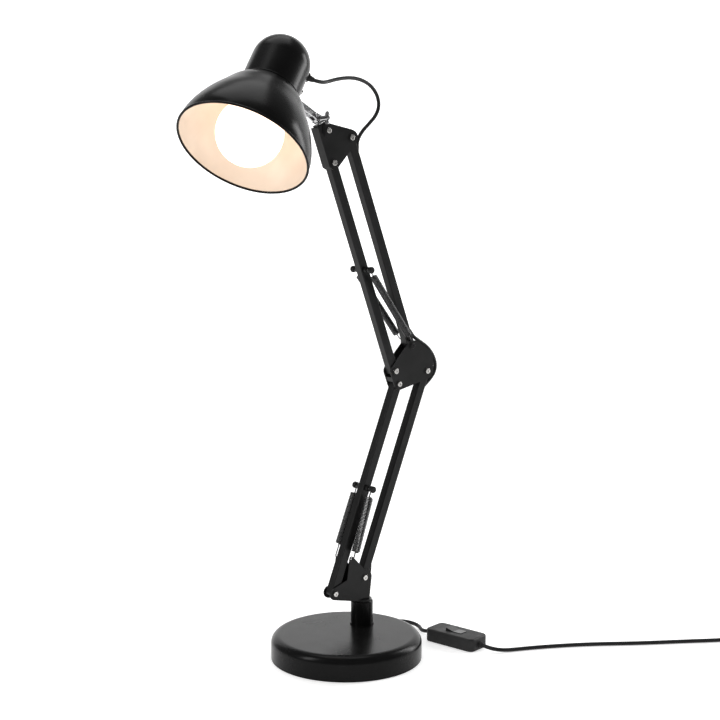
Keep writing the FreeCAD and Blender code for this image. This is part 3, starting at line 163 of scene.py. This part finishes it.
def coil_corners():
    """(degrees wound, radius, height) where the coil's line changes: inwards, up, and out again."""
    corners = []
    angle = 0
    for radius in COIL_RADII:
        turn = UPPER_TURN if radius == COIL_RADII[-1] else LOWER_TURN
        corners += [(angle, radius, LOWER_LAYER), (angle + turn, radius, LOWER_LAYER)]
        angle += turn + COIL_SHIFT
    for radius in reversed(COIL_RADII):
        corners += [(angle, radius, UPPER_LAYER), (angle + UPPER_TURN, radius, UPPER_LAYER)]
        angle += UPPER_TURN + COIL_SHIFT
    corners[-1] = (COIL_END, COIL_RADII[0], PLUG_Z)
    return corners


def coil_at(angle, corners):
    """Radius and height of the coil's line after winding by angle."""
    for (a0, r0, z0), (a1, r1, z1) in zip(corners, corners[1:]):
        if a0 <= angle <= a1:
            t = (angle - a0) / (a1 - a0)
            return r0 + (r1 - r0) * t, z0 + (z1 - z0) * t


def coil_points():
    corners = coil_corners()
    points = []
    for angle in range(COIL_FIRST, COIL_LAST, COIL_STEP):
        radius, height = coil_at(angle, corners)
        radius *= COIL_WIDEN
        theta = math.radians(COIL_START - angle)
        x = COIL_CENTRE[0] + radius * math.cos(theta)
        y = COIL_CENTRE[1] + radius * math.sin(theta)
        points.append((x, y, height))
    return points


def plug_point(along):
    way = (math.cos(PLUG_HEADING), math.sin(PLUG_HEADING))
    side = (-way[1], way[0])
    x = COIL_CENTRE[0] + side[0] * COIL_RADII[0] + way[0] * along
    y = COIL_CENTRE[1] + side[1] * COIL_RADII[0] + way[1] * along
    return (x, y, PLUG_Z)


def lead_cord(name, nodes, points_mm):
    """A length of mains lead that lies still on the base's body."""
    tube, path = tube_on_spline(name, points_mm, LEAD_R)
    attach(tube, "base")
    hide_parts(*nodes)
    return tube


def add_cords():
    return [
        bending_cord("head_cable_top", "head_loop_top", HEAD_TOP),
        bending_cord("head_cable_middle", "head_loop_middle", HEAD_MIDDLE),
        bending_cord("head_cable_foot", "head_loop_foot", HEAD_FOOT),
        bending_cord("elbow_cable_top", "elbow_loop_top", ELBOW_TOP),
        bending_cord("elbow_cable_foot", "elbow_loop_foot", ELBOW_FOOT),
        bending_cord("foot_cable", "foot_run", FOOT_RUN),
        lead_cord("lead_to_switch_cord", ["lead_to_switch"], TO_SWITCH),
        lead_cord("lead_from_switch_cord", ["lead_from_switch", "lead_coil"],
                  FROM_SWITCH + coil_points() + [plug_point(along) for along in PLUG_RUN]),
    ]


# ---------------------------------------------------------------- materials
NOISE_ROUGHNESS = 0.55
NOISE_LOW, NOISE_HIGH = 0.3, 0.7      # where nearly all noise values lie
TINT_LOW, TINT_HIGH = 0.32, 0.68
BULB_GLOW = 2.1


def new_material(name):
    material = bpy.data.materials.new(name)
    material.use_nodes = True
    return material, material.node_tree, material.node_tree.nodes["Principled BSDF"]


def noise(tree, scale, detail):
    coords = tree.nodes.new("ShaderNodeTexCoord")
    texture = tree.nodes.new("ShaderNodeTexNoise")
    texture.inputs["Scale"].default_value = scale
    texture.inputs["Detail"].default_value = detail
    texture.inputs["Roughness"].default_value = NOISE_ROUGHNESS
    tree.links.new(coords.outputs["Object"], texture.inputs["Vector"])
    return texture.outputs["Fac"]


def spread(tree, value, low, high):
    """Maps a noise value to between two numbers."""
    ranged = tree.nodes.new("ShaderNodeMapRange")
    ranged.inputs["From Min"].default_value = NOISE_LOW
    ranged.inputs["From Max"].default_value = NOISE_HIGH
    ranged.inputs["To Min"].default_value = low
    ranged.inputs["To Max"].default_value = high
    tree.links.new(value, ranged.inputs["Value"])
    return ranged.outputs["Result"]


def tint(tree, value, dark, light):
    ramp = tree.nodes.new("ShaderNodeValToRGB")
    ramp.color_ramp.elements[0].position = TINT_LOW
    ramp.color_ramp.elements[1].position = TINT_HIGH
    ramp.color_ramp.elements[0].color = (*dark, 1)
    ramp.color_ramp.elements[1].color = (*light, 1)
    tree.links.new(value, ramp.inputs["Fac"])
    return ramp.outputs["Color"]


def bump(tree, value, strength, distance):
    node = tree.nodes.new("ShaderNodeBump")
    node.inputs["Strength"].default_value = strength
    node.inputs["Distance"].default_value = distance
    tree.links.new(value, node.inputs["Height"])
    return node.outputs["Normal"]


def finish(name, dark, light, rough_low, rough_high, metallic=0.0, patch=60.0, grain=1500.0,
           grain_strength=0.15, grain_depth=0.0001, specular=0.5):
    """A surface with patchy colour and gloss, and a fine grain in its relief."""
    material, tree, shader = new_material(name)
    patches = noise(tree, patch, 5.0)
    tree.links.new(tint(tree, patches, dark, light), shader.inputs["Base Color"])
    tree.links.new(spread(tree, patches, rough_low, rough_high), shader.inputs["Roughness"])
    tree.links.new(bump(tree, noise(tree, grain, 2.0), grain_strength, grain_depth), shader.inputs["Normal"])
    shader.inputs["Metallic"].default_value = metallic
    shader.inputs["Specular IOR Level"].default_value = specular
    return material


def grey(v):
    """A grey a touch towards blue."""
    return (v, v, v * 1.01)


def make_materials():
    made = {}
    made["paint"] = finish("black_powder_coat", grey(0.007), grey(0.010), 0.30, 0.38, patch=35.0,
                           grain=1300.0, grain_strength=0.16, specular=0.2)
    made["paint_smooth"] = finish("black_satin_paint", grey(0.004), grey(0.006), 0.22, 0.28, patch=30.0,
                                  grain=900.0, grain_strength=0.06, grain_depth=0.00006, specular=0.1)
    made["enamel"] = finish("white_enamel", (0.62, 0.58, 0.52), (0.69, 0.65, 0.59), 0.38, 0.5, patch=25.0,
                            grain=700.0, grain_strength=0.06)
    made["chrome"] = finish("chrome_plate", grey(0.42), grey(0.52), 0.05, 0.12, metallic=1.0, patch=120.0,
                            grain=2500.0, grain_strength=0.03)
    made["nickel"] = finish("bright_nickel", (0.42, 0.41, 0.40), (0.60, 0.59, 0.57), 0.18, 0.30, metallic=1.0,
                            patch=300.0, grain=2600.0, grain_strength=0.08)
    made["zinc"] = finish("zinc_plate", (0.40, 0.40, 0.41), (0.50, 0.50, 0.50), 0.35, 0.5, metallic=1.0)
    made["spring"] = finish("black_nickel_wire", grey(0.055), grey(0.085), 0.22, 0.34, metallic=1.0,
                            patch=200.0)
    made["iron"] = finish("cast_iron", (0.06, 0.058, 0.055), (0.10, 0.095, 0.09), 0.6, 0.8, metallic=0.7,
                          grain=500.0, grain_strength=0.6, grain_depth=0.0005)
    made["cable"] = finish("cable_sheath", grey(0.010), grey(0.016), 0.42, 0.55, patch=90.0, grain=2200.0,
                           grain_strength=0.15, specular=0.2)
    made["foam"] = finish("foam_pad", grey(0.012), grey(0.02), 0.8, 0.95, grain=1800.0, grain_strength=0.6,
                          grain_depth=0.0003)
    made["nylon"] = finish("black_nylon", grey(0.010), grey(0.014), 0.3, 0.4, patch=80.0, grain=1600.0,
                           grain_strength=0.1, specular=0.2)
    made["plastic"] = finish("black_spark_textured", grey(0.012), grey(0.018), 0.45, 0.58, patch=80.0,
                             grain=1900.0, grain_strength=0.4, grain_depth=0.00015, specular=0.25)
    made["phenolic"] = finish("black_phenolic", grey(0.012), grey(0.016), 0.18, 0.28, patch=60.0,
                              grain_strength=0.05)
    made["brass"] = finish("nickelled_brass", (0.66, 0.60, 0.46), (0.76, 0.70, 0.56), 0.2, 0.32, metallic=1.0)
    made["bulb"] = opal_glass()
    return made


def opal_glass():
    """Lit opal glass: even light with a faint cloudiness."""
    material, tree, shader = new_material("lit_opal_glass")
    clouds = noise(tree, 18.0, 3.0)
    tree.links.new(tint(tree, clouds, (1.0, 0.69, 0.50), (1.0, 0.72, 0.53)), shader.inputs["Emission Color"])
    shader.inputs["Emission Strength"].default_value = BULB_GLOW
    shader.inputs["Base Color"].default_value = (0.85, 0.85, 0.85, 1)
    shader.inputs["Roughness"].default_value = 0.25
    return material


NODE_FINISH = {
    "paint": ["lower_bracket", "elbow_bracket", "head_bracket", "lower_front_bar", "lower_rear_bar",
              "upper_front_bar", "upper_rear_bar", "lower_cross_pin", "upper_cross_pin"],
    "paint_smooth": ["base_cover", "shade_cap", "collar"],
    "iron": ["base_weight"],
    "zinc": ["base_plate", "collar_nut", "base_screws", "swivel_clip"],
    "nickel": ["lower_pivot_bolts", "elbow_pivot_bolts", "head_pivot_bolts", "block_screw", "swivel_pin",
               "yoke_screws", "plug_pins", "switch_screws"],
    "chrome": ["head_stem", "knuckle_bolt", "wing_nut", "yoke"],
    "foam": ["base_pad"],
    "nylon": ["head_block", "swivel_washer"],
    "cable": ["base_inner_cable", "lower_inner_cable", "upper_inner_cable", "lead_gland", "cap_grommet"],
    "plastic": ["switch_bottom", "switch_top", "plug_body"],
    "phenolic": ["lampholder", "shade_ring", "switch_rocker"],
    "bulb": ["bulb_globe"],
    "brass": ["bulb_cap"],
}
SHADE_MOUTH = Vector((-0.15395, -0.02354, 0.59500))
SHADE_UP = Vector((0.57131, 0.25108, 0.78139))
RIM_HEIGHT = 0.0022           # the rolled rim stays black up to here
RIM_RADIUS = 0.0735
INWARD, OUT_OF_MOUTH = -0.02, -0.5    # how far a face has to turn to count as the inside
DARK_BOLT = (0.1082, 0.3657)  # x and z of the elbow bolt whose head is black
BOLT_REACH = 0.008


def paint_bell(bell, made):
    """Black outside and rim, white enamel on the faces that look at the shade's axis or out of its mouth."""
    bell.data.materials.clear()
    bell.data.materials.append(made["paint_smooth"])
    bell.data.materials.append(made["enamel"])
    for polygon in bell.data.polygons:
        offset = polygon.center - SHADE_MOUTH
        height = offset.dot(SHADE_UP)
        radial = offset - SHADE_UP * height
        normal = polygon.normal
        inward = normal.dot(radial.normalized()) < INWARD or normal.dot(SHADE_UP) < OUT_OF_MOUTH
        rim = height < RIM_HEIGHT or radial.length > RIM_RADIUS
        polygon.material_index = 1 if inward and not rim else 0


def paint_dark_bolt(bolts, made):
    """The elbow bolt of the upper rear bar has a black head."""
    bolts.data.materials.append(made["paint"])
    for polygon in bolts.data.polygons:
        x, _, z = polygon.center
        if math.hypot(x - DARK_BOLT[0], z - DARK_BOLT[1]) < BOLT_REACH:
            polygon.material_index = 1


def paint_nodes(made):
    for finish_name, names in NODE_FINISH.items():
        for name in names:
            NODES[name].data.materials.clear()
            NODES[name].data.materials.append(made[finish_name])
    paint_bell(NODES["shade_bell"], made)
    paint_dark_bolt(NODES["elbow_pivot_bolts"], made)


# ---------------------------------------------------------------- springs
WIRE_SIDES = 8
STEPS_PER_TURN = 14
SPRING_PITCH = 1.12             # distance between turns, in wire thicknesses
SPRING_TOP_Y, SPRING_FOOT_Y = 14.3, 11.2      # arm plane to a spring's axis at each end
CROSS_PIN_R = 2.5
HOOK_CLEAR = 0.1
HOOK_STEPS, HOOK_FROM, HOOK_STEP = 13, -90, 24     # the hook over the pin, in degrees
# a hook's way out of the bracket: distance from the arm plane, distance along the spring
HOOK_WAY = [(5.8, 0.0), (8.2, 0.1), (10.0, 0.8)]
STEM_FROM = 2.6               # where the foot hook's straight stem begins, along the spring
NECK_FOOT, NECK_TOP = 2.0, 2.4        # straight wire left before the first turn and before the top hook
END_TURNS, END_REACH = 0.6, 0.08      # the end turns close in over this part of a turn, to this share


def wire_mesh(name, points, radius):
    """A round wire swept along points, as one mesh."""
    sides = WIRE_SIDES
    points = [Vector(p) for p in points]
    vertices, faces = [], []
    normal = None
    for i, point in enumerate(points):
        ahead = points[min(i + 1, len(points) - 1)] - points[max(i - 1, 0)]
        ahead.normalize()
        if normal is None:
            normal = ahead.orthogonal().normalized()
        normal = (normal - ahead * normal.dot(ahead)).normalized()
        across = ahead.cross(normal)
        for k in range(sides):
            a = 2 * math.pi * k / sides
            vertices.append(point + (normal * math.cos(a) + across * math.sin(a)) * radius)
    for i in range(len(points) - 1):
        for k in range(sides):
            m = (k + 1) % sides
            faces.append((i * sides + k, i * sides + m, (i + 1) * sides + m, (i + 1) * sides + k))
    last = (len(points) - 1) * sides
    faces.append(tuple(range(sides))[::-1])
    faces.append(tuple(last + k for k in range(sides)))
    mesh = bpy.data.meshes.new(name)
    mesh.from_pydata([tuple(v) for v in vertices], [], faces)
    for polygon in mesh.polygons:
        polygon.use_smooth = True
    wire = bpy.data.objects.new(name, mesh)
    bpy.context.scene.collection.objects.link(wire)
    return wire


def spring_points(top, foot, side, radius, wire, top_gap, foot_gap):
    """Centreline of a tension spring: hook through the bracket's hole, close coils, hook over the pin."""
    start = Vector((foot[0], ARM_Y + side * SPRING_FOOT_Y, foot[1]))
    end = Vector((top[0], ARM_Y + side * SPRING_TOP_Y, top[1]))
    along = end - start
    length = along.length
    along.normalize()
    u = along.cross(Vector((0, 1, 0))).normalized()
    v = along.cross(u)
    mid = radius - wire / 2
    points = [Vector((foot[0], ARM_Y + side * out, foot[1])) + along * rise for out, rise in HOOK_WAY]
    points += [start + along * STEM_FROM, start + along * (foot_gap - NECK_FOOT)]
    coil_from, coil_to = foot_gap, length - top_gap
    turns = (coil_to - coil_from) / (wire * SPRING_PITCH)
    steps = int(turns * STEPS_PER_TURN)
    for i in range(steps + 1):
        t = i / steps
        angle = 2 * math.pi * turns * t
        ends = min(1.0, t * turns / END_TURNS, (1 - t) * turns / END_TURNS)
        reach = mid * max(ends, END_REACH)
        points.append(start + along * (coil_from + (coil_to - coil_from) * t)
                      + (u * math.cos(angle) + v * math.sin(angle)) * reach)
    points.append(end - along * (top_gap - NECK_TOP))
    loop = CROSS_PIN_R + wire / 2 + HOOK_CLEAR
    side_way = Vector((0, 1, 0)).cross(along)
    for i in range(HOOK_STEPS):
        a = math.radians(HOOK_FROM + HOOK_STEP * i)
        points.append(end + (along * math.sin(a) + side_way * math.cos(a)) * loop)
    return [p * MM for p in points]


LOWER_TOP = (39.85, 197.55)
UPPER_TOP = (37.1, 460.3)
# node, top, foot, side, radius, wire, gap at the top, gap at the foot, body of the top, body of the foot
SPRINGS = [
    ("lower_spring_near", LOWER_TOP, (15.6, 114.5), -1, 5.3, 1.5, 9.5, 8.5, "lower_front", "swivel"),
    ("lower_spring_far", LOWER_TOP, (4.6, 114.5), 1, 5.3, 1.5, 9.5, 16.0, "lower_front", "swivel"),
    ("upper_spring_near", UPPER_TOP, (103.8, 372.2), -1, 4.4, 1.3, 9.5, 8.5, "upper_front", "elbow"),
    ("upper_spring_far", UPPER_TOP, (103.8, 372.2), 1, 4.4, 1.3, 9.5, 8.5, "upper_front", "elbow"),
]


def add_springs(made):
    for node, top, foot, side, radius, wire, top_gap, foot_gap, body_a, body_b in SPRINGS:
        points = spring_points(top, foot, side, radius, wire, top_gap, foot_gap)
        coil = wire_mesh(node + "_wire", points, wire / 2 * MM)
        coil.data.materials.append(made["spring"])
        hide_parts(node)
        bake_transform(coil)


# ---------------------------------------------------------------- floor and light
FLOOR_REACH = 20
WALL_REACH, WALL_FOOT, WALL_TOP = 4, -0.1, 4
WALL_PLACE, WALL_TURN = (2.4, 3.2, 0), -36.9
WORLD_LIGHT = 0.25
# name, place, aim, size, power
SOFTBOXES = [
    ("left_softbox", (-1.7, 0.3, 1.2), (0, 0, 0.45), (0.4, 1.2), 14.0),
    ("right_softbox", (1.6, -0.3, 0.75), (0.03, 0, 0.4), (0.45, 1.3), 18.0),
    ("top_softbox", (0.1, 0.3, 2.0), (0, 0, 0), (1.2, 1.2), 10.0),
]


def add_floor():
    reach = FLOOR_REACH
    corners = [(-reach, -reach, 0), (reach, -reach, 0), (reach, reach, 0), (-reach, reach, 0)]
    mesh = bpy.data.meshes.new("floor")
    mesh.from_pydata(corners, [], [(0, 1, 2, 3)])
    floor = bpy.data.objects.new("floor", mesh)
    bpy.context.scene.collection.objects.link(floor)
    material, _, shader = new_material("pale_floor")
    shader.inputs["Base Color"].default_value = (0.9, 0.9, 0.9, 1)
    shader.inputs["Emission Color"].default_value = (1, 1, 1, 1)
    shader.inputs["Emission Strength"].default_value = 0.5
    shader.inputs["Roughness"].default_value = 0.8
    shader.inputs["Specular IOR Level"].default_value = 0.1
    mesh.materials.append(material)


def add_backdrop():
    """A lit white wall four metres behind the lamp."""
    mesh = bpy.data.meshes.new("backdrop")
    corners = [(-WALL_REACH, 0, WALL_FOOT), (WALL_REACH, 0, WALL_FOOT),
               (WALL_REACH, 0, WALL_TOP), (-WALL_REACH, 0, WALL_TOP)]
    mesh.from_pydata(corners, [], [(0, 1, 2, 3)])
    wall = bpy.data.objects.new("backdrop", mesh)
    wall.location = WALL_PLACE
    wall.rotation_euler = (0, 0, math.radians(WALL_TURN))
    bpy.context.scene.collection.objects.link(wall)
    material, _, shader = new_material("lit_backdrop")
    shader.inputs["Base Color"].default_value = (0.8, 0.8, 0.8, 1)
    shader.inputs["Emission Color"].default_value = (1, 1, 1, 1)
    shader.inputs["Emission Strength"].default_value = 1.0
    mesh.materials.append(material)


def area_light(name, place, target, size, power):
    data = bpy.data.lights.new(name, "AREA")
    data.shape = "RECTANGLE"
    data.size, data.size_y = size
    data.energy = power
    light = bpy.data.objects.new(name, data)
    light.location = place
    light.rotation_euler = (Vector(target) - Vector(place)).to_track_quat("-Z", "Y").to_euler()
    bpy.context.scene.collection.objects.link(light)


def add_light():
    bpy.context.scene.view_settings.view_transform = "Standard"
    world = bpy.data.worlds.new("studio")
    world.use_nodes = True
    world.node_tree.nodes["Background"].inputs["Color"].default_value = (1, 1, 1, 1)
    world.node_tree.nodes["Background"].inputs["Strength"].default_value = WORLD_LIGHT
    bpy.context.scene.world = world
    for softbox in SOFTBOXES:
        area_light(*softbox)


add_camera()
cords = add_cords()
finishes = make_materials()
for cord in cords:
    cord.data.materials.clear()
    cord.data.materials.append(finishes["cable"])
paint_nodes(finishes)
add_springs(finishes)
add_floor()
add_backdrop()
add_light()
bpy.context.view_layer.update()
